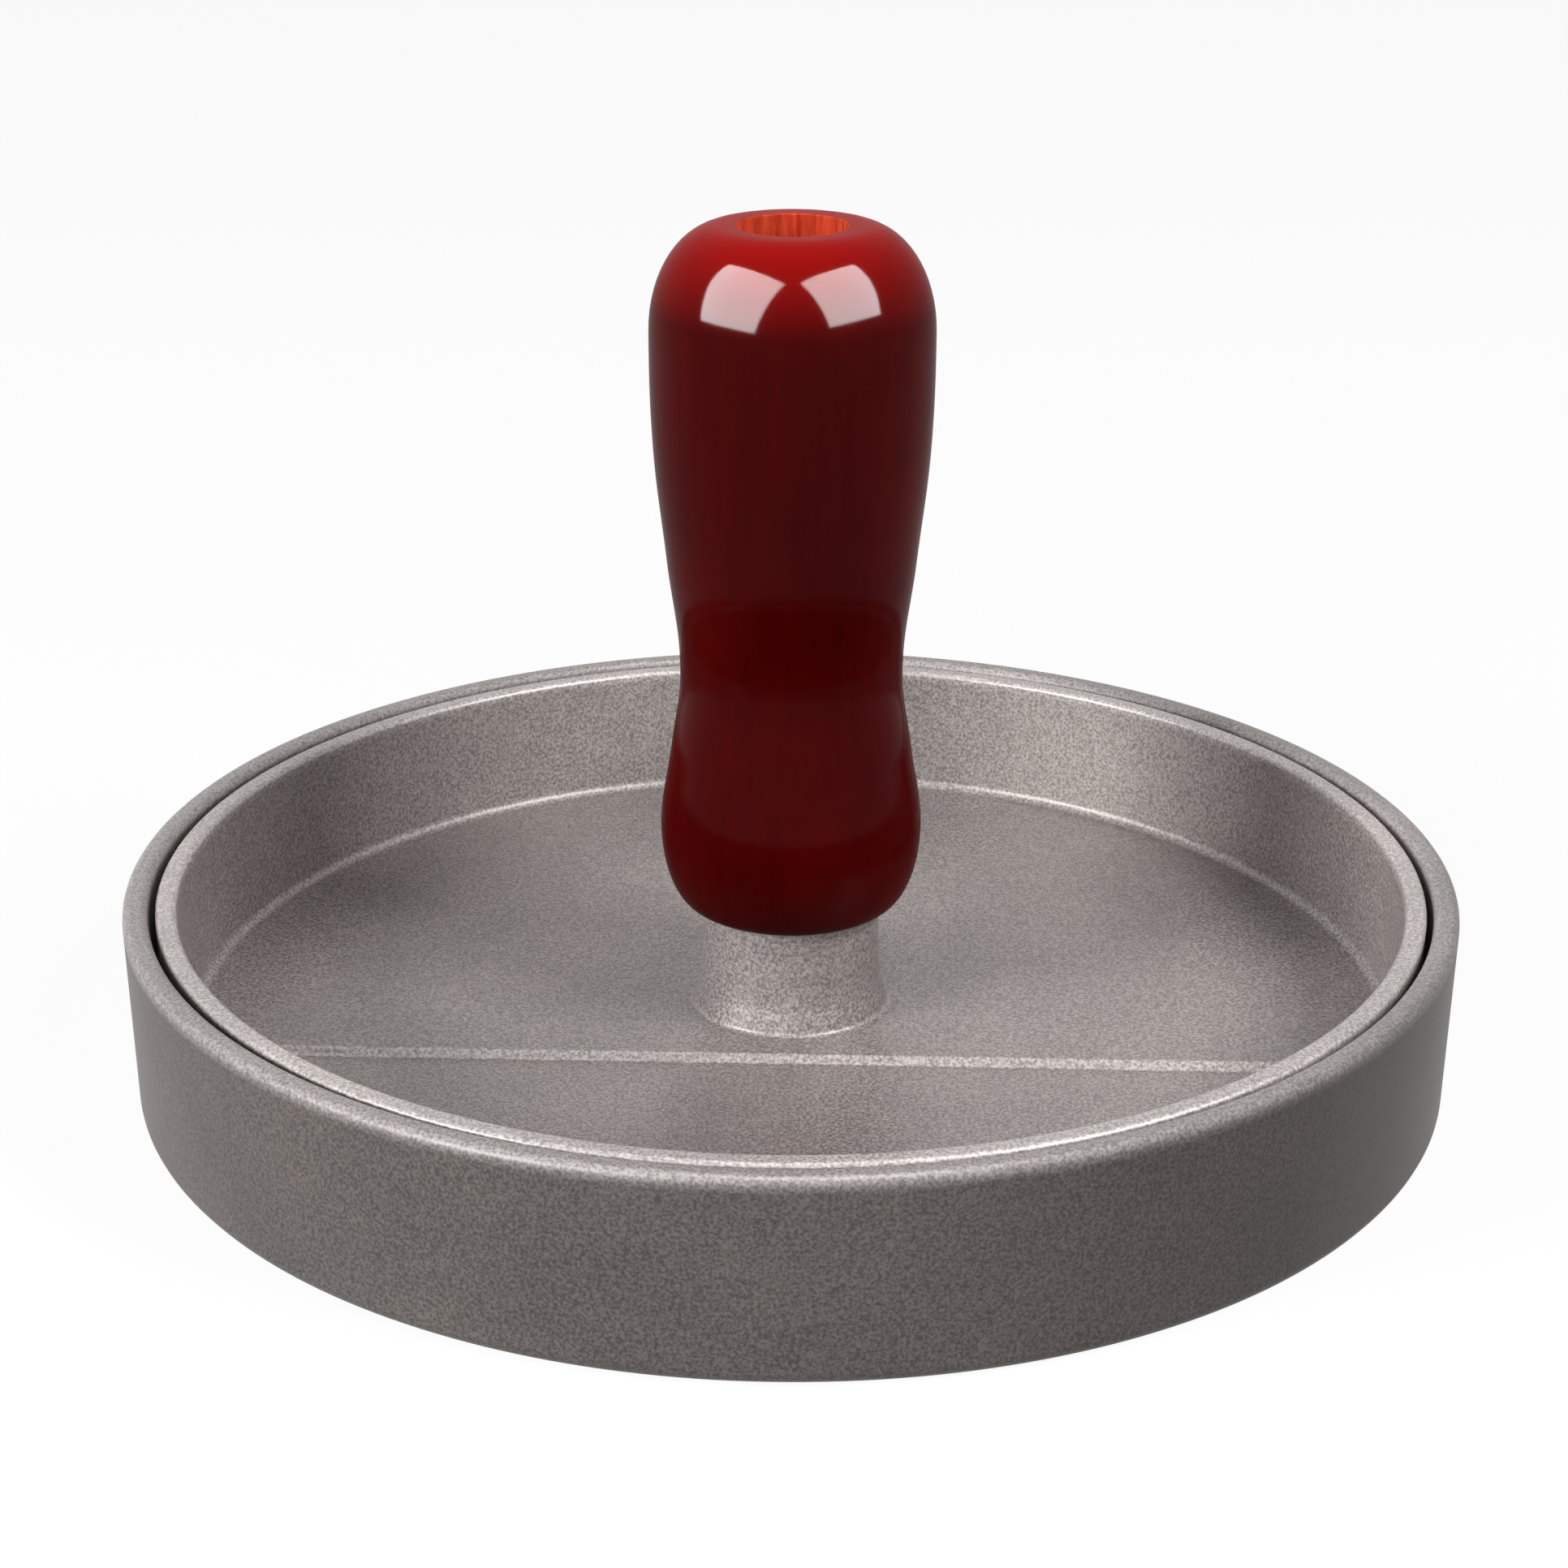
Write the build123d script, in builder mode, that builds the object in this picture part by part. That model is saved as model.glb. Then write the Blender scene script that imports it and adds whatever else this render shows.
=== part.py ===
from build123d import *
import os

# Round meat press: a shallow cast dish, a press plate that drops into it, and a turned
# wooden handle held on the plate's boss by one long screw.
# Millimetres, +Z up. The origin is the centre of the dish's underside.

# Dish
dish_radius = 60.0  # outside, at the lip
dish_height = 18.3
dish_draft = 0.5  # the outside draws in by this much towards the foot
dish_wall = 2.3  # at the lip
dish_floor = 1.6  # between the grill ribs
dish_lip_round = 0.8
dish_foot_round = 1.3
dish_corner_round = 1.0  # inside, between wall and floor

# Press plate
plate_gap = 0.6  # radial clearance to the dish wall, at the lip
plate_draft = 0.4
plate_lip_drop = 0.3  # how far the plate's lip sits below the dish's lip
plate_wall = 1.9  # at the lip
plate_floor = 2.8  # from the rib crests underneath to the top of the floor
plate_lip_round = 0.5
plate_edge_round = 1.2  # outside, round the pressing face
plate_corner_round = 0.9  # inside, between wall and floor

# Lowered front segment of the plate's floor
step_depth = 0.7
step_offset = 12.0  # from the axis to the top edge of the step
step_slope = 0.5  # run of the sloping riser
step_round = 0.35
step_turn = -1.8  # degrees, the step isn't quite square to the front

# Boss that carries the handle
boss_height = 10.05  # above the plate's floor
boss_radius = 7.95  # at the top
boss_draft = 0.2
boss_foot_radius = 8.85
boss_foot_height = 1.0
boss_foot_slope = 0.8  # height of the cone that joins the foot to the boss
boss_fillet = 0.5

# Grill ribs on the two pressing faces
rib_height = 0.8
rib_width = 3.6
rib_pitch = 8.0
rib_margin = 5.6  # plain ring left between the ribs and the edge of each face
rib_end_gap = 0.8  # least height of the outermost grooves

# Handle
handle_length = 61.85
handle_base_radius = 8.6
handle_belly_radius = 11.75
handle_belly_height = 7.45
handle_neck_radius = 10.73
handle_neck_height = 14.95
handle_waist_radius = 9.9
handle_waist_height = 21.75
handle_flank_radius = 11.0
handle_flank_height = 32.35
handle_palm_radius = 12.08
handle_palm_height = 42.5
handle_shoulder_radius = 12.35
handle_dome_height = 9.1  # from the shoulder up to the top face
handle_top_radius = 6.2
bore_lip_chamfer = 0.25

# Screw and washers
screw_radius = 2.5
screw_length = 40.0
thread_pitch = 0.8
thread_depth = 0.45
thread_engagement = 9.2
thread_clearance = 0.05
tapped_hole_spare = 0.4
head_radius = 4.25
head_height = 3.3
head_round = 0.8
recess_width = 1.1
recess_length = 4.8
recess_depth = 2.0
washer_radius = 4.5
washer_bore_clearance = 0.15
flat_washer_thickness = 1.0
spring_washer_thickness = 1.2
spring_washer_slit = 0.8
shank_clearance = 0.3  # round the shank, in the wood
head_bore_clearance = 0.2  # round the washers, in the wood

# Heights and radii that follow from the sizes above
face_height = dish_floor + rib_height  # where the two sets of rib crests meet
floor_height = face_height + plate_floor
plate_lip_height = dish_height - plate_lip_drop
boss_top = floor_height + boss_height
handle_top = boss_top + handle_length
dish_bore_radius = dish_radius - dish_wall
dish_floor_radius = dish_bore_radius - dish_draft
plate_radius = dish_bore_radius - plate_gap
plate_foot_radius = plate_radius - plate_draft
plate_bore_radius = plate_radius - plate_wall
plate_floor_radius = plate_bore_radius - plate_draft
washer_seat = boss_top + screw_length - thread_engagement - flat_washer_thickness - spring_washer_thickness
spring_seat = washer_seat + flat_washer_thickness
head_seat = spring_seat + spring_washer_thickness
screw_tip = head_seat - screw_length
head_bore_radius = washer_radius + head_bore_clearance
head_bore_depth = handle_top - washer_seat
shank_bore_radius = screw_radius + shank_clearance
washer_bore_radius = screw_radius + washer_bore_clearance
tapped_radius = screw_radius + thread_clearance
tapped_depth = boss_top - screw_tip + tapped_hole_spare


def grill_channels(face_radius, height, depth):
    """The grooves between parallel ribs, within a round face, cut down from height by depth."""
    ribbed_radius = face_radius - rib_margin
    ribs_each_side = int((ribbed_radius - rib_width / 2 - rib_end_gap) / rib_pitch)
    with BuildPart() as channels:
        with BuildSketch(Plane.XY.offset(height)):
            Circle(ribbed_radius)
            with GridLocations(0, rib_pitch, 1, 2 * ribs_each_side + 1):
                Rectangle(2 * ribbed_radius, rib_width, mode=Mode.SUBTRACT)
        extrude(amount=-depth)
    return channels.part


def plate_recess(bottom):
    """The round hollow inside the plate's wall, down to a floor at the height given."""
    with BuildPart() as recess:
        with BuildSketch(Plane.XZ) as profile:
            with BuildLine():
                Polyline(
                    (0, bottom),
                    (plate_floor_radius, bottom),
                    (plate_bore_radius, plate_lip_height),
                    (0, plate_lip_height),
                    close=True,
                )
            make_face()
            corner = profile.vertices().group_by(Axis.Y)[0].sort_by(Axis.X)[-1]
            fillet(corner, radius=plate_corner_round)
        revolve(axis=Axis.Z)
    return recess.part


def front_segment():
    """Everything in front of the step, with the riser's rounded slope as its back face."""
    low = floor_height - step_depth
    with BuildPart() as segment:
        with BuildSketch(Plane.YZ.offset(-plate_radius)) as riser:
            with BuildLine():
                Polyline(
                    (-dish_radius, low),
                    (-step_offset - step_slope, low),
                    (-step_offset, floor_height),
                    (-step_offset + step_slope, floor_height),
                    (-step_offset + step_slope, plate_lip_height),
                    (-dish_radius, plate_lip_height),
                    close=True,
                )
            make_face()
            riser_ends = riser.vertices().filter_by_position(
                Axis.X, -step_offset - step_slope - step_round, -step_offset + step_slope / 2
            )
            fillet(riser_ends, radius=step_round)
        extrude(amount=2 * plate_radius)
    return segment.part.rotate(Axis.Z, step_turn)


# Dish: cast wall and floor, drawn in a little towards the foot
with BuildPart() as mould_dish:
    with BuildSketch(Plane.XZ) as dish_profile:
        with BuildLine():
            Polyline(
                (0, 0),
                (dish_radius - dish_draft, 0),
                (dish_radius, dish_height),
                (dish_bore_radius, dish_height),
                (dish_floor_radius, face_height),
                (0, face_height),
                close=True,
            )
        make_face()
        floor_corner = dish_profile.vertices().group_by(Axis.Y)[1].sort_by(Axis.X)[-1]
        fillet(floor_corner, radius=dish_corner_round)
        lip_corners = dish_profile.vertices().group_by(Axis.Y)[-1]
        fillet(lip_corners, radius=dish_lip_round)
        foot_corner = dish_profile.vertices().group_by(Axis.Y)[0].sort_by(Axis.X)[-1]
        fillet(foot_corner, radius=dish_foot_round)
    revolve(axis=Axis.Z)
    add(grill_channels(dish_floor_radius, face_height, rib_height), mode=Mode.SUBTRACT)

# Press plate: pressing face, raised wall, stepped floor and the boss, all one casting
with BuildPart() as press_plate:
    with BuildSketch(Plane.XZ) as plate_profile:
        with BuildLine():
            Polyline(
                (0, face_height),
                (plate_foot_radius, face_height),
                (plate_radius, plate_lip_height),
                (0, plate_lip_height),
                close=True,
            )
        make_face()
        face_corner = plate_profile.vertices().group_by(Axis.Y)[0].sort_by(Axis.X)[-1]
        fillet(face_corner, radius=plate_edge_round)
    revolve(axis=Axis.Z)
    add(plate_recess(floor_height), mode=Mode.SUBTRACT)
    lip_edges = press_plate.edges().group_by(Axis.Z)[-1]
    fillet(lip_edges, radius=plate_lip_round)
    add(plate_recess(floor_height - step_depth) & front_segment(), mode=Mode.SUBTRACT)
    with BuildSketch(Plane.XZ) as boss_profile:
        with BuildLine():
            foot_top = floor_height + boss_foot_height
            Polyline(
                (0, floor_height),
                (boss_foot_radius, floor_height),
                (boss_foot_radius, foot_top),
                (boss_radius + boss_draft, foot_top + boss_foot_slope),
                (boss_radius, boss_top),
                (0, boss_top),
                close=True,
            )
        make_face()
    revolve(axis=Axis.Z)
    boss_foot_edge = press_plate.edges().filter_by(GeomType.CIRCLE).filter_by(
        lambda edge: abs(edge.radius - boss_foot_radius) < 0.01 and edge.center().Z < floor_height + 0.01
    )
    fillet(boss_foot_edge, radius=boss_fillet)
    with Locations((0, 0, boss_top)):
        Hole(radius=tapped_radius, depth=tapped_depth)
    add(grill_channels(plate_foot_radius, face_height + rib_height, rib_height), mode=Mode.SUBTRACT)

# Handle: turned wood, bored for the shank and counterbored for the screw head
belly = boss_top + handle_belly_height
shoulder = handle_top - handle_dome_height
with BuildPart() as handle_grip:
    with BuildSketch(Plane.XZ):
        with BuildLine():
            Line((0, boss_top), (handle_base_radius, boss_top))
            EllipticalCenterArc(
                (handle_base_radius, belly),
                handle_belly_radius - handle_base_radius,
                handle_belly_height,
                start_angle=270,
                arc_size=90,
            )
            Spline(
                (handle_belly_radius, belly),
                (handle_neck_radius, boss_top + handle_neck_height),
                (handle_waist_radius, boss_top + handle_waist_height),
                (handle_flank_radius, boss_top + handle_flank_height),
                (handle_palm_radius, boss_top + handle_palm_height),
                (handle_shoulder_radius, shoulder),
                tangents=((0, 1), (0, 1)),
            )
            EllipticalCenterArc(
                (handle_top_radius, shoulder),
                handle_shoulder_radius - handle_top_radius,
                handle_dome_height,
                start_angle=0,
                arc_size=90,
            )
            Line((handle_top_radius, handle_top), (0, handle_top))
            Line((0, handle_top), (0, boss_top))
        make_face()
    revolve(axis=Axis.Z)
    with Locations((0, 0, handle_top)):
        CounterBoreHole(
            radius=shank_bore_radius,
            counter_bore_radius=head_bore_radius,
            counter_bore_depth=head_bore_depth,
            depth=handle_length,
        )
    mouth_edge = handle_grip.edges().group_by(Axis.Z)[-1].sort_by(SortBy.RADIUS)[0]
    chamfer(mouth_edge, length=bore_lip_chamfer)

# Screw: pan head with a cross recess, plain shank, and thread turns at the tip
thread_turns = int(thread_engagement / thread_pitch)
with BuildPart() as handle_screw:
    with BuildSketch(Plane.XZ):
        with BuildLine():
            outline = [(0, screw_tip), (screw_radius - thread_depth, screw_tip)]
            for turn in range(thread_turns):
                turn_base = screw_tip + turn * thread_pitch
                outline.append((screw_radius, turn_base + thread_pitch / 2))
                outline.append((screw_radius - thread_depth, turn_base + thread_pitch))
            thread_end = screw_tip + thread_turns * thread_pitch
            outline.append((screw_radius, thread_end + thread_depth))
            outline.append((screw_radius, head_seat))
            outline.append((head_radius, head_seat))
            outline.append((head_radius, head_seat + head_height))
            outline.append((0, head_seat + head_height))
            Polyline(outline, close=True)
        make_face()
    revolve(axis=Axis.Z)
    fillet(handle_screw.edges().group_by(Axis.Z)[-1], radius=head_round)
    with BuildSketch(Plane.XY.offset(head_seat + head_height)):
        Rectangle(recess_length, recess_width)
        Rectangle(recess_width, recess_length)
    extrude(amount=-recess_depth, mode=Mode.SUBTRACT)

with BuildPart() as flat_washer:
    with BuildSketch(Plane.XY.offset(washer_seat)):
        Circle(washer_radius)
        Circle(washer_bore_radius, mode=Mode.SUBTRACT)
    extrude(amount=flat_washer_thickness)

# Split spring washer, squeezed flat under the head
with BuildPart() as spring_washer:
    with BuildSketch(Plane.XY.offset(spring_seat)):
        Circle(washer_radius)
        Circle(washer_bore_radius, mode=Mode.SUBTRACT)
        with Locations((washer_radius / 2, 0)):
            Rectangle(washer_radius, spring_washer_slit, mode=Mode.SUBTRACT)
    extrude(amount=spring_washer_thickness)

pieces = {
    "mould_dish": mould_dish,
    "press_plate": press_plate,
    "handle_grip": handle_grip,
    "handle_screw": handle_screw,
    "flat_washer": flat_washer,
    "spring_washer": spring_washer,
}
os.makedirs("parts", exist_ok=True)
for name, piece in pieces.items():
    piece.part.label = name
    export_step(piece.part, f"parts/{name}.step")
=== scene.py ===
# %% [markdown]
# A round meat press: a shallow cast dish, a press plate that drops into it and a turned
# wooden handle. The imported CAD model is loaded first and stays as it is. The two castings
# and the handle are then made again as smooth pieces, because a lathe shape shows every
# facet in its reflections, and all pieces get their finishes from nodes.

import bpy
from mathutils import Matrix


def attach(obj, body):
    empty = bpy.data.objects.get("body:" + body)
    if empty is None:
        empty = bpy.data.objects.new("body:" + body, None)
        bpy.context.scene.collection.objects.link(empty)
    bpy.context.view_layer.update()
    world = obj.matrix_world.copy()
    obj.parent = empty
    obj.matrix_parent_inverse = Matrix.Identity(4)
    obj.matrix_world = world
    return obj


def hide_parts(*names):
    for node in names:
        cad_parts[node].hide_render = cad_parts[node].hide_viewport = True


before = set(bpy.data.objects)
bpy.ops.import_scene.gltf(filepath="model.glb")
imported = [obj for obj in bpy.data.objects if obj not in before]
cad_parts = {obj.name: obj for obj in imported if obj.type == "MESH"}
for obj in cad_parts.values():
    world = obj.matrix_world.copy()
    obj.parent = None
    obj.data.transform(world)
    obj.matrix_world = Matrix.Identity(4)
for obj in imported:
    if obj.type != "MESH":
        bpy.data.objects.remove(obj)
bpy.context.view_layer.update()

# %% [markdown]
# Blender works in metres here, and the drawing of the press is in millimetres, so every
# size is written in millimetres and passes through one small constant.

# %% Units and tools
import math

import bmesh
import bpy
from mathutils import Matrix, Vector

MM = 0.001
STEPS = 256  # facets round a full turn: smooth even where the lip meets the background
SAME_POINT = 0.002 * MM  # points nearer to each other than this become one
print("one millimetre is", MM, "m and a full turn has", STEPS, "facets")

# %% [markdown]
# Every piece made here rides on a CAD body and stands for a CAD node, which it hides. One
# function does both as it closes a piece, so neither can be forgotten. It also smooths the
# shading. Plain smooth shading bends the light on a flat face next to a rounded edge, so the
# castings get a modifier that lets the large faces set the direction.

# %% Closing a piece
LARGEST_FACE_WINS = 100  # the modifier's highest weight for a face's size


def finished(bm, name, body, node, flat_faces=True):
    """Turns a bmesh into a smooth piece that rides on a body and stands for a CAD node.

    With flat_faces, large faces keep their own direction and only the rounded edges blend."""
    bmesh.ops.recalc_face_normals(bm, faces=bm.faces)
    mesh = bpy.data.meshes.new(name)
    bm.to_mesh(mesh)
    bm.free()
    piece = bpy.data.objects.new(name, mesh)
    bpy.context.scene.collection.objects.link(piece)
    mesh.shade_smooth()
    if flat_faces:
        weighted = piece.modifiers.new("face_weighted_normals", "WEIGHTED_NORMAL")
        weighted.weight, weighted.keep_sharp = LARGEST_FACE_WINS, True
    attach(piece, body)
    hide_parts(node)
    size = [round(d / MM, 2) for d in piece.dimensions]
    print(name, "has", len(mesh.polygons), "faces and is", size, "mm")
    return piece


# %% [markdown]
# Both castings come from patterns that were turned on a lathe, so they are round all the
# way through. A turned shape could be modelled with a cylinder and loop cuts, but its
# outline is far easier to read as a short list of corners. Each corner has a radius, a
# height and a rounding; the bevel rounds the corners of the wire, and the spin turns it.

# %% Lathe for shapes with rounded corners
CORNER_STEPS = 6  # edges in one rounded corner


def turned(corners):
    """Spins an outline of (radius, height, rounding) corners, in millimetres, about Z."""
    bm = bmesh.new()
    verts = [bm.verts.new((r * MM, 0, z * MM)) for r, z, rounding in corners]
    for a, b in zip(verts, verts[1:]):
        bm.edges.new((a, b))
    for vert, (r, z, rounding) in zip(verts, corners):
        if rounding:
            bmesh.ops.bevel(bm, geom=[vert], offset=rounding * MM, offset_type="OFFSET",
                            segments=CORNER_STEPS, profile=0.5, affect="VERTICES", material=-1)
    wire = bm.verts[:] + bm.edges[:]
    bmesh.ops.spin(bm, geom=wire, cent=(0, 0, 0), axis=(0, 0, 1), angle=math.tau, steps=STEPS,
                   use_merge=True)
    bmesh.ops.remove_doubles(bm, verts=bm.verts, dist=SAME_POINT)
    return bm


# %% [markdown]
# Each pressing face has low parallel ribs that mark the meat like a grill. They are cast
# in one with the floor. Here each rib is a bar whose ends reach into the plain ring round
# the face, with its long edges bevelled as a casting's edges are.

# %% Grill ribs
RIB_WIDTH, RIB_PITCH, RIBS_EACH_SIDE = 3.6, 8.0, 6
RIB_EDGE, RIB_EDGE_STEPS = 0.3, 3  # the bevel along a bar's long edges


def add_ribs(bm, ring_radius, low, high):
    """Adds the bars of a pressing face, between two heights, within a plain ring."""
    for n in range(-RIBS_EACH_SIDE, RIBS_EACH_SIDE + 1):
        y = n * RIB_PITCH
        length = 2 * math.sqrt(ring_radius**2 - (abs(y) - RIB_WIDTH / 2) ** 2)
        place = Matrix.Translation((0, y * MM, (low + high) / 2 * MM))
        size = Matrix.Diagonal((length * MM, RIB_WIDTH * MM, (high - low) * MM, 1))
        bar = bmesh.ops.create_cube(bm, size=1, matrix=place @ size)["verts"]
        along = [e for e in {e for v in bar for e in v.link_edges}
                 if abs(e.verts[0].co.x - e.verts[1].co.x) > RIB_WIDTH * MM]
        bmesh.ops.bevel(bm, geom=along, offset=RIB_EDGE * MM, offset_type="OFFSET",
                        segments=RIB_EDGE_STEPS, profile=0.5, affect="EDGES", material=-1)


# %% [markdown]
# The dish is the outer casting. Its wall draws in slightly towards the foot so that it
# leaves its mould, the lip is a thin rounded band, and the floor inside carries the ribs.
# Only the lip and the outer wall show until the plate is lifted.

# %% Dish
dish_bm = turned([
    (0, 0, 0), (59.48, 0, 1.3), (59.95, 18.3, 0.8), (57.7, 18.3, 0.8), (57.2, 2.4, 1.0),
    (51.6, 2.4, 0.3), (51.45, 1.6, 0.3), (0, 1.6, 0),
])
add_ribs(dish_bm, ring_radius=51.6, low=1.3, high=2.38)
dish = finished(dish_bm, "dish_casting", "dish", "mould_dish")

# %% [markdown]
# The press plate is the inner casting: a wall that nearly fills the dish, a floor with a
# boss for the handle, and ribs underneath. The boss has a wider foot, and a blind hole
# takes the screw.

# %% Press plate, turned
FLOOR = 5.2
plate_bm = turned([
    (0, 3.2, 0), (51.0, 3.2, 0.3), (51.1, 2.4, 0.3), (56.7, 2.4, 1.2), (57.1, 18.0, 0.5),
    (55.2, 18.0, 0.5), (54.8, FLOOR, 0.9), (8.9, FLOOR, 0.35), (8.65, 6.2, 0.5),
    (8.2, 7.8, 0.7), (7.95, 15.25, 0.3), (2.55, 15.25, 0.1), (2.55, 5.65, 0.1), (0, 5.65, 0),
])
print("turned plate:", len(plate_bm.faces), "faces")

# %% [markdown]
# Across the front of the plate's floor runs a fine step, a little off square, and the part
# in front of it lies lower. The floor is one flat ring after the spin, so a few parallel
# cuts give it lines to bend at. All that lies in front of them then goes down, and the
# lines between them follow a smooth S curve, which rounds the step's edges.

# %% Step across the plate's floor
STEP_OFFSET, STEP_DEPTH, STEP_RUN, STEP_CUTS = 12.0, 0.7, 0.9, 9
STEP_TURN = -1.8  # degrees off square
BOSS_FOOT, WALL_FOOT = 9.6, 54.95  # the floor lies between these radii
POINT_SLACK, FACE_SLACK, HEADROOM = 0.05, 0.1, 0.95  # heights below and above the floor
step_way = Matrix.Rotation(math.radians(STEP_TURN), 3, "Z") @ Vector((0, -1, 0))


def how_far_in_front(vert):
    """Millimetres in front of the start of the step."""
    return vert.co.dot(step_way) / MM - STEP_OFFSET


def on_the_floor(vert):
    """Whether a point lies on the floor, between the boss's foot and the wall."""
    radius = math.hypot(vert.co.x, vert.co.y) / MM
    at_floor_height = FLOOR - POINT_SLACK < vert.co.z / MM < FLOOR + HEADROOM
    return BOSS_FOOT < radius < WALL_FOOT and at_floor_height


def to_be_cut(face):
    """Whether a face belongs to the floor, or joins it to the boss's foot."""
    reaches = all(on_the_floor(v) or math.hypot(v.co.x, v.co.y) < BOSS_FOOT * MM
                  for v in face.verts)
    middle = face.calc_center_median().z
    return reaches and (FLOOR - FACE_SLACK) * MM < middle < (FLOOR + HEADROOM) * MM


for cut in range(-1, STEP_CUTS + 2):
    floor_faces = [f for f in plate_bm.faces if to_be_cut(f)]
    floor_edges = {e for f in floor_faces for e in f.edges}
    floor_verts = {v for f in floor_faces for v in f.verts}
    distance = STEP_OFFSET + cut * STEP_RUN / STEP_CUTS
    bmesh.ops.bisect_plane(plate_bm, geom=[*floor_faces, *floor_edges, *floor_verts],
                           plane_co=step_way * distance * MM, plane_no=step_way)
lowered = 0
for vert in plate_bm.verts:
    if on_the_floor(vert) and how_far_in_front(vert) > 0:
        share = min(how_far_in_front(vert) / STEP_RUN, 1)
        vert.co.z -= STEP_DEPTH * share * share * (3 - 2 * share) * MM
        lowered += 1
add_ribs(plate_bm, ring_radius=51.1, low=2.42, high=3.5)
plate = finished(plate_bm, "plate_casting", "press", "press_plate")
print("points lowered in front of the step:", lowered)

# %% [markdown]
# The handle is turned from one piece of wood: a belly over the boss, a waist, a long palm
# part that swells upwards and a domed top with a counterbore for the screw head. A
# curve drawn with Bezier handles gives it the long easy lines that a gouge leaves. The
# curve becomes a chain of edges, and the spin turns it.

# %% Handle outline
BASE, TOP = 15.25, 77.1
BORE, SHANK_BORE, SEAT = 4.7, 2.8, 43.85
FOOT, CROWN = 8.6, 6.2  # radii where the wood meets the boss and where the dome ends
BELLY, BELLY_HEIGHT = 11.75, 22.7
PALM, PALM_HEIGHT = 12.345, 68.0
ROUND = 0.5523  # handle length that makes a quarter of an ellipse

outline = bpy.data.curves.new("handle_outline", "CURVE")
outline.dimensions = "2D"
outline.resolution_u = 16
spline = outline.splines.new("BEZIER")
stations = [
    (FOOT, BASE), (BELLY, BELLY_HEIGHT), (10.73, 30.2), (9.9, 37.0), (11.0, 47.6),
    (12.08, 57.75), (PALM, PALM_HEIGHT), (CROWN, TOP),
]
spline.bezier_points.add(len(stations) - 1)
for point, (r, z) in zip(spline.bezier_points, stations):
    point.co = (r, z, 0)
    point.handle_left_type = point.handle_right_type = "AUTO"
by_hand = {
    0: ((FOOT, BASE), (FOOT + ROUND * (BELLY - FOOT), BASE)),
    1: ((BELLY, BELLY_HEIGHT - ROUND * (BELLY_HEIGHT - BASE)), (BELLY, 25.2)),
    6: ((PALM, 64.6), (PALM, PALM_HEIGHT + ROUND * (TOP - PALM_HEIGHT))),
    7: ((CROWN + ROUND * (PALM - CROWN), TOP), (CROWN, TOP)),
}
for index, (left, right) in by_hand.items():
    point = spline.bezier_points[index]
    point.handle_left_type = point.handle_right_type = "FREE"
    point.handle_left, point.handle_right = (*left, 0), (*right, 0)
drawn = bpy.data.objects.new("handle_outline", outline)
bpy.context.scene.collection.objects.link(drawn)
bpy.context.view_layer.update()
chain = bpy.data.meshes.new_from_object(drawn)
print("handle outline has", len(chain.vertices), "points")

# %% [markdown]
# The drawn outline is only the outside of the handle. The chain is closed by hand through
# the counterbore and the screw's hole, and one spin then makes outside and bore together,
# so there is nothing to cut out afterwards. The faces in the bore take a second finish.

# %% Handle, turned
BORE_LIP, CROWN_DIP = 0.12, 0.01  # the bore's broken edge, and how far it lies under the crown
BARE_FROM = BASE + 1  # the bore is bare wood above this height
CRISP_FROM = 40  # degrees; edges that turn more than this stay crisp

handle_bm = bmesh.new()
handle_bm.from_mesh(chain)
bpy.data.objects.remove(drawn)
bmesh.ops.transform(handle_bm, verts=handle_bm.verts,
                    matrix=Matrix.Rotation(math.pi / 2, 4, "X") @ Matrix.Scale(MM, 4))
bottom = min(handle_bm.verts, key=lambda v: v.co.z)
crown = max(handle_bm.verts, key=lambda v: v.co.z)
bore_points = [
    (BORE + BORE_LIP, TOP - CROWN_DIP), (BORE, TOP - BORE_LIP), (BORE, SEAT),
    (SHANK_BORE, SEAT), (SHANK_BORE, BASE),
]
last = crown
for r, z in bore_points:
    following = handle_bm.verts.new((r * MM, 0, z * MM))
    handle_bm.edges.new((last, following))
    last = following
handle_bm.edges.new((last, bottom))
bmesh.ops.spin(handle_bm, geom=handle_bm.verts[:] + handle_bm.edges[:], cent=(0, 0, 0),
               axis=(0, 0, 1), angle=math.tau, steps=STEPS, use_merge=True)
bmesh.ops.remove_doubles(handle_bm, verts=handle_bm.verts, dist=SAME_POINT)
for face in handle_bm.faces:
    centre = face.calc_center_median()
    near_axis = math.hypot(centre.x, centre.y) < (BORE + BORE_LIP) * MM
    face.material_index = int(near_axis and centre.z > BARE_FROM * MM)
handle = finished(handle_bm, "turned_handle", "press", "handle_grip",
                  flat_faces=False)
handle.data.set_sharp_from_angle(angle=math.radians(CRISP_FROM))

# %% [markdown]
# Finishes are built from nodes, and a few short helpers keep their wiring readable. The
# first makes a material with its main shader. The second adds a texture node that reads the
# object's own coordinates, so a pattern needs no unwrapping and stays where it is when the
# piece moves.

# %% A finish and its patterns
def new_finish(name, **sockets):
    """A material and its main shader, with plain values set on the shader's own sockets."""
    material = bpy.data.materials.new(name)
    material.use_nodes = True
    shader = material.node_tree.nodes["Principled BSDF"]
    for socket, value in sockets.items():
        shader.inputs[socket.replace("_", " ")].default_value = value
    return material, shader


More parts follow.
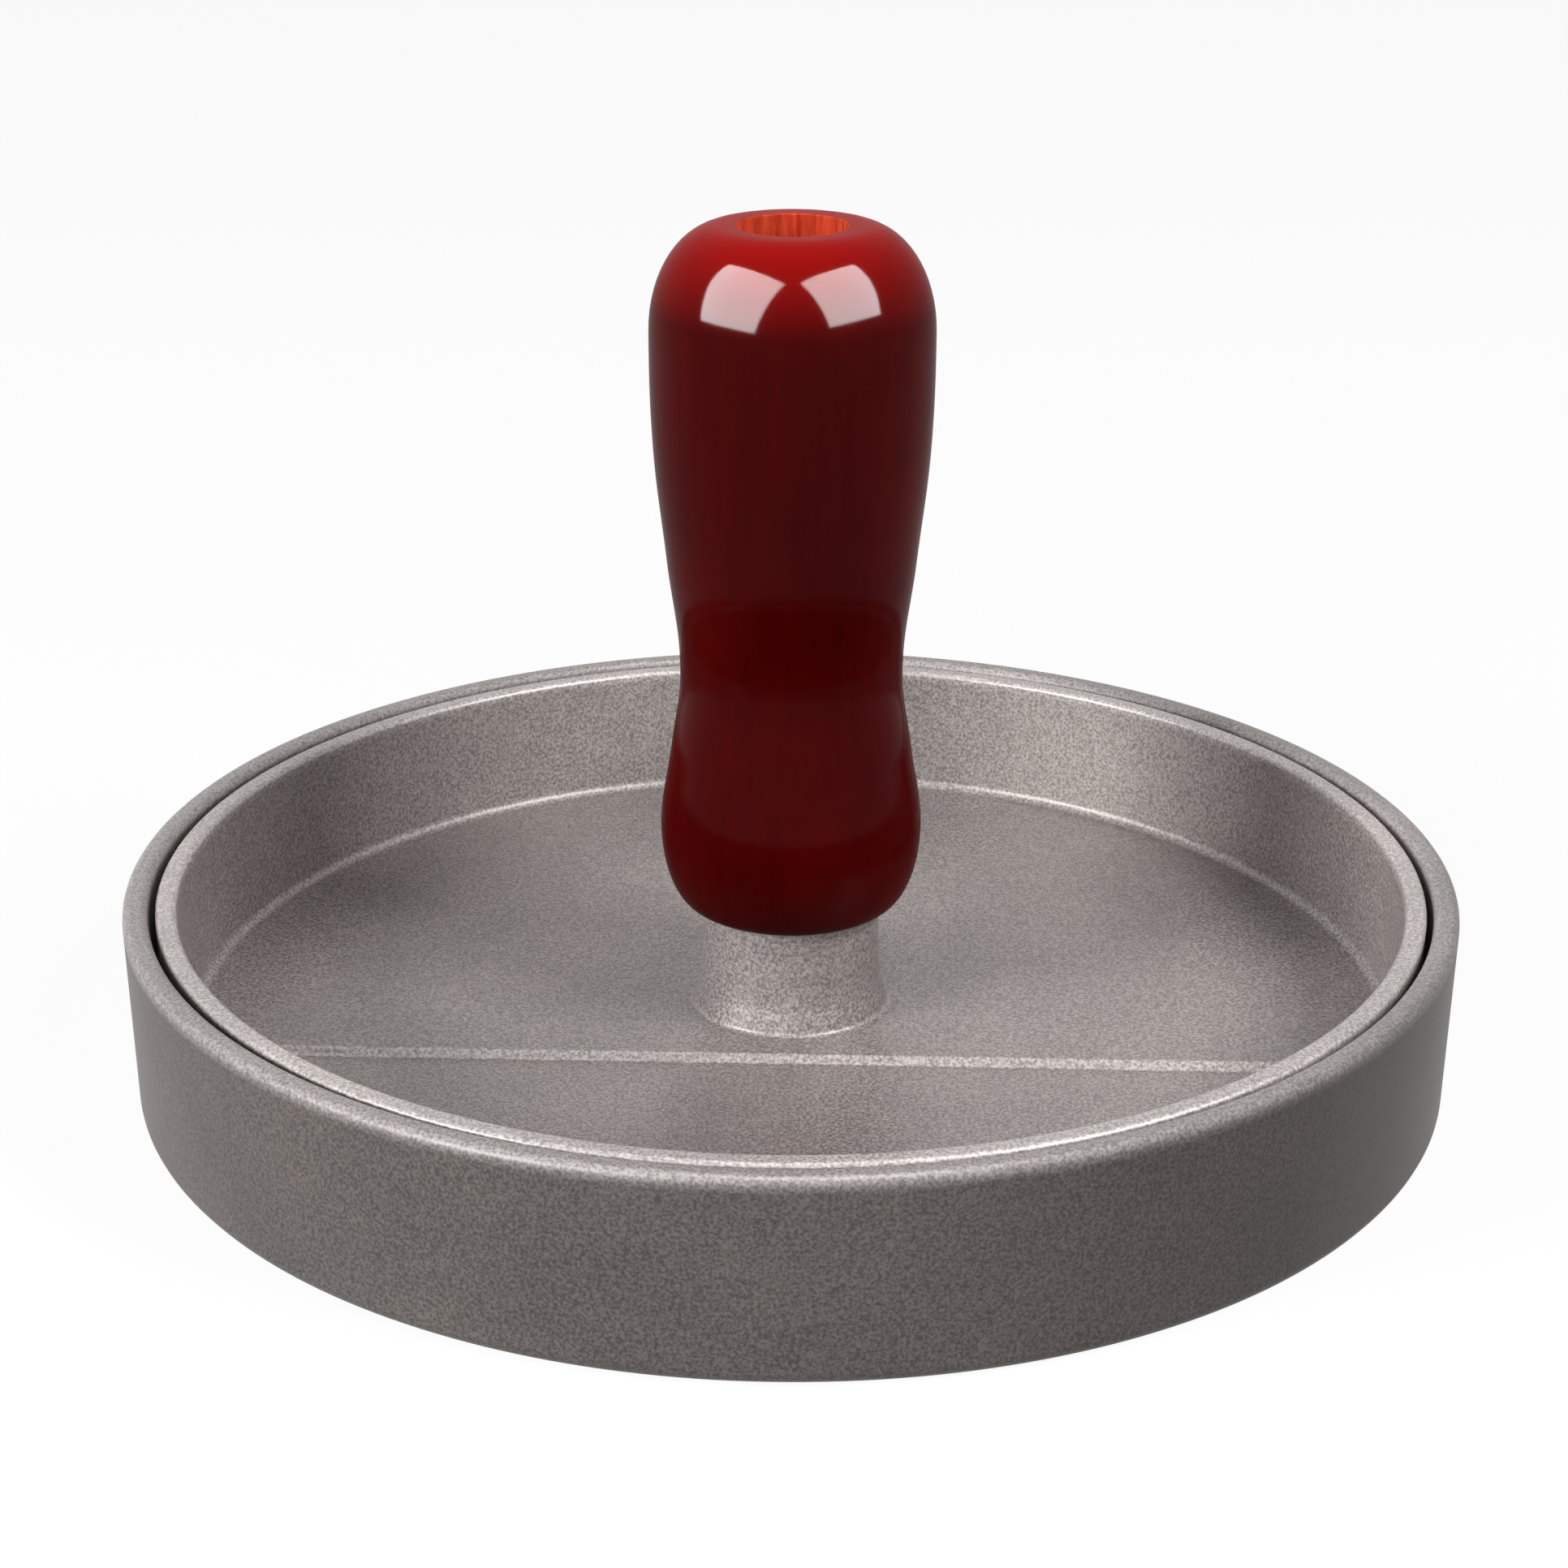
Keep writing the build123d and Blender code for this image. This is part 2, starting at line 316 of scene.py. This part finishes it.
def texture(material, kind, stretch=(1, 1, 1), **sockets):
    """A texture node that reads the object's own coordinates, stretched along each axis."""
    nodes, links = material.node_tree.nodes, material.node_tree.links
    place = nodes.new("ShaderNodeMapping")
    place.inputs["Scale"].default_value = stretch
    links.new(nodes.new("ShaderNodeTexCoord").outputs["Object"], place.inputs["Vector"])
    node = nodes.new(kind)
    links.new(place.outputs["Vector"], node.inputs["Vector"])
    for socket, value in sockets.items():
        node.inputs[socket.replace("_", " ")].default_value = value
    return node.outputs[0]


# %% [markdown]
# A noise gives values that crowd round the middle. To be of use they are spread, over two
# numbers for a roughness and over two colours for a tone. Tones from several patterns are
# then mixed.

# %% Numbers and tones from a pattern
FACTOR, COLOUR_A, COLOUR_B, COLOUR_OUT = 0, 6, 7, 2  # a Mix node's sockets for colours


def spread(material, value, low, high, from_low=0.3, from_high=0.7):
    """Spreads a texture's values from from_low to from_high over the numbers low to high."""
    node = material.node_tree.nodes.new("ShaderNodeMapRange")
    ends = {"From Min": from_low, "From Max": from_high, "To Min": low, "To Max": high}
    for socket, number in ends.items():
        node.inputs[socket].default_value = number
    material.node_tree.links.new(value, node.inputs["Value"])
    return node.outputs["Result"]


def tint(material, value, low, high, from_low=0.3, from_high=0.7):
    """Spreads a texture's values from from_low to from_high over two colours."""
    node = material.node_tree.nodes.new("ShaderNodeValToRGB")
    ends = zip(node.color_ramp.elements, (from_low, from_high), (low, high))
    for element, place, colour in ends:
        element.position, element.color = place, (*colour, 1)
    material.node_tree.links.new(value, node.inputs["Fac"])
    return node.outputs["Color"]


def mix(material, a, b, share, how="MIX"):
    """Mixes two colours, each written or from a texture; share is a number or a texture."""
    node = material.node_tree.nodes.new("ShaderNodeMix")
    node.data_type, node.blend_type = "RGBA", how
    for index, value in ((FACTOR, share), (COLOUR_A, a), (COLOUR_B, b)):
        socket = node.inputs[index]
        if isinstance(value, tuple):
            socket.default_value = (*value, 1)
        elif isinstance(value, (int, float)):
            socket.default_value = value
        else:
            material.node_tree.links.new(value, socket)
    return node.outputs[COLOUR_OUT]


# %% [markdown]
# Two more helpers: one gives a point's height, for wear that depends on it, and one turns a
# pattern into fine relief, which is too small to model.

# %% Height and relief
def height_of(material):
    """The height of each point of the piece above the table, in metres."""
    nodes, links = material.node_tree.nodes, material.node_tree.links
    split = nodes.new("ShaderNodeSeparateXYZ")
    links.new(nodes.new("ShaderNodeTexCoord").outputs["Object"], split.inputs[0])
    return split.outputs["Z"]


def raise_grain(material, shader, value, strength, height, into="Normal"):
    """Turns a texture into fine relief, with its full height in millimetres."""
    nodes, links = material.node_tree.nodes, material.node_tree.links
    bump = nodes.new("ShaderNodeBump")
    bump.inputs["Strength"].default_value = strength
    bump.inputs["Distance"].default_value = height * MM
    links.new(value, bump.inputs["Height"])
    links.new(bump.outputs["Normal"], shader.inputs[into])


# %% [markdown]
# The castings are blasted with fine shot and left matt under a thin metallic coat, so
# they are a warm grey with a fine speckle about a third of a millimetre wide. A paint
# texture could give that, but noise in the object's own space wraps round every edge. One
# noise gives the speckle, one a slow drift in tone, and the speckle also drives the
# roughness and the relief. The lips are painted lighter than the rest, blended in by
# height: a painted highlight where their rounded edges catch the light. The dish's tones
# are darker than the plate's, though its finish is the same: painted shade on its wall.

# %% Cast metal finish
# The heights over which the lips take their painted highlight.
LIP_HIGHLIGHT_FROM, LIP_HIGHLIGHT_TO = 16.9 * MM, 17.9 * MM
SPECKLES, DRIFTS = 3600.0, 42.0  # noise scales: specks 0.3 mm wide, drifts about 24 mm wide
SPECKLE_LOW, SPECKLE_HIGH = 0.36, 0.66  # the noise values that take the two tones


def cast_metal(name, dark, light, lip_highlight_dark, lip_highlight_light, metal, roughness):
    """Blasted casting: speckled between two tones, its lips painted lighter towards two tones as
    a highlight.
    """
    material, shader = new_finish(name, Metallic=metal, Specular_IOR_Level=0.2)
    links = material.node_tree.links
    speckle = texture(material, "ShaderNodeTexNoise", Scale=SPECKLES, Detail=2.0, Roughness=0.6)
    drift = texture(material, "ShaderNodeTexNoise", Scale=DRIFTS, Detail=3.0, Roughness=0.55)
    # The lips' lighter tones are a painted highlight, blended in by height.
    lip_highlight_share = spread(material, height_of(material), 0.0, 1.0, LIP_HIGHLIGHT_FROM, LIP_HIGHLIGHT_TO)
    blasted = tint(material, speckle, dark, light, SPECKLE_LOW, SPECKLE_HIGH)
    painted_lip_highlight = tint(material, speckle, lip_highlight_dark, lip_highlight_light, SPECKLE_LOW, SPECKLE_HIGH)
    tone = mix(material, blasted, painted_lip_highlight, lip_highlight_share)
    cloudy = tint(material, drift, (0.86, 0.86, 0.86), (1.12, 1.1, 1.09))
    links.new(mix(material, tone, cloudy, 1.0, "MULTIPLY"), shader.inputs["Base Color"])
    dullness = spread(material, speckle, roughness - 0.08, roughness + 0.1)
    links.new(dullness, shader.inputs["Roughness"])
    raise_grain(material, shader, speckle, strength=0.25, height=0.05)
    return material


# The dish's darker tones are painted shade: it has the same finish as the plate.
dish.data.materials.append(cast_metal(
    "blasted_dish_painted_shade", dark=(0.103, 0.091, 0.085), light=(0.230, 0.205, 0.193),
    lip_highlight_dark=(0.27, 0.249, 0.242), lip_highlight_light=(0.56, 0.523, 0.511),
    metal=0.3, roughness=0.48))
plate.data.materials.append(cast_metal(
    "blasted_plate", dark=(0.185, 0.168, 0.161), light=(0.41, 0.376, 0.364),
    lip_highlight_dark=(0.30, 0.277, 0.268), lip_highlight_light=(0.60, 0.56, 0.548),
    metal=0.45, roughness=0.44))

# %% [markdown]
# The handle's wood is stained and then dipped in a thick, deep red lacquer. Under it the
# grain runs along the handle as faint streaks, with broad patches where the stain took
# more or less. Towards the top the red is painted lighter, as painted light where more
# light falls on the dome. The clear top layer is a coat on the main shader, with a very
# slight waviness, as a dipped lacquer has. It is weaker than a real lacquer's coat, which
# would veil the red with the white surround.

# %% Lacquered wood finish
# Heights over which the top's red is painted lighter, as painted light on the dome.
LIT_TOP_FROM, LIT_TOP_TO = 70.0 * MM, 77.2 * MM
lacquer, shader = new_finish("red_lacquer", Roughness=0.4, Specular_IOR_Level=0.0,
                             Coat_Weight=0.25, Coat_Roughness=0.08, Coat_IOR=1.25)
links = lacquer.node_tree.links
streaks = texture(lacquer, "ShaderNodeTexNoise", stretch=(1, 1, 0.045), Scale=900.0,
                  Detail=4.0, Roughness=0.6)
patches = texture(lacquer, "ShaderNodeTexNoise", stretch=(1, 1, 0.45), Scale=95.0,
                  Detail=2.0, Roughness=0.5)
wood = tint(lacquer, streaks, (0.055, 0.0004, 0.0006), (0.067, 0.0006, 0.0007), 0.35, 0.65)
stained = mix(lacquer, wood, (0.085, 0.002, 0.001), spread(lacquer, patches, 0.0, 0.7, 0.5, 0.75))
# Painted light: the red turns lighter towards the top, where more light falls.
painted_top_light = spread(lacquer, height_of(lacquer), 0.0, 1.0, LIT_TOP_FROM, LIT_TOP_TO)
links.new(mix(lacquer, stained, (0.30, 0.003, 0.002), painted_top_light), shader.inputs["Base Color"])
raise_grain(lacquer, shader, streaks, strength=0.1, height=0.05)
waviness = texture(lacquer, "ShaderNodeTexNoise", Scale=140.0, Detail=1.0, Roughness=0.4)
raise_grain(lacquer, shader, waviness, strength=0.05, height=0.3, into="Coat Normal")
handle.data.materials.append(lacquer)

# %% [markdown]
# Inside the counterbore the drill left bare wood that only took some of the stain. It is
# lighter, orange and dull, with the drill's fine rings across the grain.

# %% Bare wood finish
bare, shader = new_finish("bare_wood", Roughness=0.7, Specular_IOR_Level=0.0)
links = bare.node_tree.links
fibres = texture(bare, "ShaderNodeTexNoise", stretch=(1, 1, 0.12), Scale=1500.0,
                 Detail=4.0, Roughness=0.6)
rings = texture(bare, "ShaderNodeTexNoise", stretch=(0.05, 0.05, 1), Scale=2200.0, Detail=1.0)
orange = tint(bare, fibres, (0.40, 0.03, 0.012), (0.70, 0.085, 0.034), 0.35, 0.65)
links.new(orange, shader.inputs["Base Color"])
links.new(spread(bare, rings, 0.6, 0.8), shader.inputs["Roughness"])
raise_grain(bare, shader, fibres, strength=0.4, height=0.08)
handle.data.materials.append(bare)

# %% [markdown]
# The screw and its washers are zinc plated. They keep their CAD shapes, which are right,
# and get a bright metal with fine turning marks round the axis and a slight mottling.

# %% Zinc plated steel finish
def zinc_plate(name, roughness):
    """Bright zinc with turning marks and a slight mottling."""
    material, shader = new_finish(name, Metallic=1.0, Roughness=roughness)
    links = material.node_tree.links
    turning = texture(material, "ShaderNodeTexWave", Scale=900.0, Distortion=1.5, Detail=2.0)
    mottle = texture(material, "ShaderNodeTexNoise", Scale=700.0, Detail=3.0, Roughness=0.6)
    zinc = tint(material, mottle, (0.5, 0.5, 0.49), (0.68, 0.68, 0.7))
    links.new(zinc, shader.inputs["Base Color"])
    dullness = spread(material, mottle, roughness - 0.08, roughness + 0.12)
    links.new(dullness, shader.inputs["Roughness"])
    raise_grain(material, shader, turning, strength=0.1, height=0.02)
    return material


for node, roughness in (("handle_screw", 0.3), ("flat_washer", 0.36), ("spring_washer", 0.42)):
    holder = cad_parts[node]
    holder.data.materials.clear()
    holder.data.materials.append(zinc_plate(f"zinc_{node}", roughness))
print("finishes:", [m.name for m in bpy.data.materials])

# %% [markdown]
# The press stands on a plain white table in a plain white surround. More light on the
# object could make them white, but it would spoil the object's own tones. So both are white
# by themselves, for what the camera sees and for what the metal and the lacquer mirror, and
# almost dark to the plain light that falls on the press, which is left to the lamps.

# %% Rays that see the white
DARK = 0.04  # the table's tone and the surround's strength for all other rays


def seen_or_mirrored(tree):
    """1 for rays from the camera, in a reflection or through glass, and 0 for plain lighting."""
    rays = tree.nodes.new("ShaderNodeLightPath")
    seen = rays.outputs["Is Camera Ray"]
    for kind in ("Is Glossy Ray", "Is Transmission Ray"):
        either = tree.nodes.new("ShaderNodeMath")
        either.operation = "MAXIMUM"
        tree.links.new(seen, either.inputs[0])
        tree.links.new(rays.outputs[kind], either.inputs[1])
        seen = either.outputs[0]
    return seen


# %% [markdown]
# The table is one large flat face and isn't part of the press. Most of its white is its own
# and a small share is lit, which keeps the press's shadow. From below it is clear, so that
# it doesn't hide the press from a low camera.

# %% Table
TABLE_HALF, OWN_WHITE, PAPER = 6, 0.92, 0.9  # metres, share of own white, tone of the lit share

table_bm = bmesh.new()
bmesh.ops.create_grid(table_bm, x_segments=1, y_segments=1, size=TABLE_HALF)
table_mesh = bpy.data.meshes.new("table")
table_bm.to_mesh(table_mesh)
table_bm.free()
table = bpy.data.objects.new("table", table_mesh)
bpy.context.scene.collection.objects.link(table)

white, shader = new_finish("white_table", Base_Color=(DARK, DARK, DARK, 1), Roughness=0.9)
nodes, links = white.node_tree.nodes, white.node_tree.links
own_white = nodes.new("ShaderNodeEmission")
paper = nodes.new("ShaderNodeBsdfDiffuse")
paper.inputs["Color"].default_value = (PAPER, PAPER, PAPER, 1)
shaded_white = nodes.new("ShaderNodeMixShader")
shaded_white.inputs["Fac"].default_value = OWN_WHITE
links.new(paper.outputs[0], shaded_white.inputs[1])
links.new(own_white.outputs[0], shaded_white.inputs[2])
lit_or_white = nodes.new("ShaderNodeMixShader")
links.new(seen_or_mirrored(white.node_tree), lit_or_white.inputs["Fac"])
links.new(shader.outputs[0], lit_or_white.inputs[1])
links.new(shaded_white.outputs[0], lit_or_white.inputs[2])
clear = nodes.new("ShaderNodeBsdfTransparent")
side = nodes.new("ShaderNodeNewGeometry")
from_above = nodes.new("ShaderNodeMixShader")
links.new(side.outputs["Backfacing"], from_above.inputs["Fac"])
links.new(lit_or_white.outputs[0], from_above.inputs[1])
links.new(clear.outputs[0], from_above.inputs[2])
links.new(from_above.outputs[0], nodes["Material Output"].inputs["Surface"])
table_mesh.materials.append(white)
print("table reaches", TABLE_HALF, "m each way and its own share of white is", OWN_WHITE)

# %% [markdown]
# The surround could be walls round the table, but the world does the same with no edges. Its
# strength is 1, plain white, for the rays that see it and far lower for the others.

# %% World
world = bpy.data.worlds.new("studio")
bpy.context.scene.world = world
world.use_nodes = True
nodes, links = world.node_tree.nodes, world.node_tree.links
surround = nodes["Background"]
surround.inputs["Color"].default_value = (1, 1, 1, 1)
level = nodes.new("ShaderNodeMapRange")
level.inputs["To Min"].default_value = DARK
level.inputs["To Max"].default_value = 1.0
links.new(seen_or_mirrored(world.node_tree), level.inputs["Value"])
links.new(level.outputs["Result"], surround.inputs["Strength"])
print("surround's strength is 1 where it is seen and", DARK, "elsewhere")

# %% [markdown]
# Three square lamps light the press plate and the table: a low strong one at the left, a
# high one at the right and a weak one near the camera. The dish's wall faces the low lamps
# squarely and would come out too light beside the floor, so the dish has a weaker lamp and
# one from above for its lip. A weak card overhead shows only as a sheen on both castings. A
# thick lacquer mirrors every lamp, and on the real handle only two square patches show, so
# the handle has two plain lamps and two gloss cards of its own. Light linking keeps these
# groups apart. They aren't one real studio: each was set by how its piece looked.

# %% Groups of pieces for the lamps
def light_group(name, state, *pieces):
    """A collection that a lamp's light is linked to: only these pieces, or all but these."""
    group = bpy.data.collections.new(name)
    for piece in pieces:
        group.objects.link(piece)
    for member in group.collection_objects:
        member.light_linking.link_state = state
    return group


table_and_plate = light_group("light_past_handle_and_dish", "EXCLUDE", handle, dish)
castings_only = light_group("light_on_castings", "INCLUDE", dish, plate)
dish_only = light_group("light_on_dish", "INCLUDE", dish)
handle_only = light_group("light_on_handle", "INCLUDE", handle)
print("lamp groups:", [group.name for group in bpy.data.collections])

# %% [markdown]
# An area lamp gives soft shadows, as a studio's softbox does. Its place is easiest to judge
# as two angles seen from the press, so one function turns them into a place and faces the
# lamp at the middle of the press. A lamp may leave out matt light or reflections.

# %% Lamps
MIDDLE = Vector((0, 0, 0.05))  # the point that every lamp faces, in metres


def softbox(name, azimuth, elevation, power, group, size=0.28, distance=0.75, plain=True,
            gloss=True):
    """A square lamp that faces the press; azimuth counts from the front towards the right."""
    lamp = bpy.data.lights.new(name, "AREA")
    lamp.shape, lamp.size, lamp.energy = "SQUARE", size, power
    holder = bpy.data.objects.new(name, lamp)
    bpy.context.scene.collection.objects.link(holder)
    turn, rise = math.radians(azimuth), math.radians(elevation)
    way = Vector((math.sin(turn) * math.cos(rise), -math.cos(turn) * math.cos(rise),
                  math.sin(rise)))
    holder.location = MIDDLE + way * distance
    holder.rotation_euler = (-way).to_track_quat("-Z", "Y").to_euler()
    holder.visible_camera = False
    holder.visible_glossy, holder.visible_diffuse = gloss, plain
    holder.light_linking.receiver_collection = group
    print(name, "stands at", [round(c, 2) for c in holder.location])


softbox("lamp_left", -60, 18, 6.2, table_and_plate)
softbox("lamp_right", 60, 42, 4.8, table_and_plate)
softbox("lamp_front", -12, 18, 2.2, table_and_plate)
softbox("edge_card", 0, 80, 1.0, castings_only, plain=False)
softbox("dish_lamp_left", -48, 20, 4.4, dish_only)
softbox("dish_lamp_above", 15, 72, 2.4, dish_only)
softbox("handle_lamp_left", -60, 34, 6.4, handle_only, gloss=False)
softbox("handle_lamp_right", 66, 34, 5.0, handle_only, gloss=False)
softbox("handle_card_left", -54.5, 36.5, 200.0, handle_only, size=0.70, distance=0.70,
        plain=False)
softbox("handle_card_right", 53.3, 39.6, 160.0, handle_only, size=0.64, distance=0.70,
        plain=False)

# %% [markdown]
# The camera looks down at the press from the front. Its place, tilt and lens were worked
# out from the round lip, foot and floor of the press, whose sizes are known.

# %% Camera
FOCAL_LENGTH, SENSOR = 76.01, 36.0  # millimetres
CAMERA_PLACE = (0, -0.278, 0.1355)  # metres
LOOKS_DOWN, LOOKS_ASIDE, LEANS = 21.452, -0.132, -0.13  # degrees

lens = bpy.data.cameras.new("camera")
lens.lens, lens.sensor_width = FOCAL_LENGTH, SENSOR
camera = bpy.data.objects.new("camera", lens)
bpy.context.scene.collection.objects.link(camera)
camera.location = CAMERA_PLACE
tilt, pan, roll = (math.radians(angle) for angle in (LOOKS_DOWN, LOOKS_ASIDE, LEANS))
aim = (Matrix.Rotation(-pan, 4, "Z") @ Matrix.Rotation(math.pi / 2 - tilt, 4, "X")
       @ Matrix.Rotation(-roll, 4, "Z"))
camera.rotation_euler = aim.to_euler()
bpy.context.scene.camera = camera
bpy.context.scene.view_settings.view_transform = "Standard"
print("camera stands at", CAMERA_PLACE, "and looks down by", LOOKS_DOWN, "degrees")
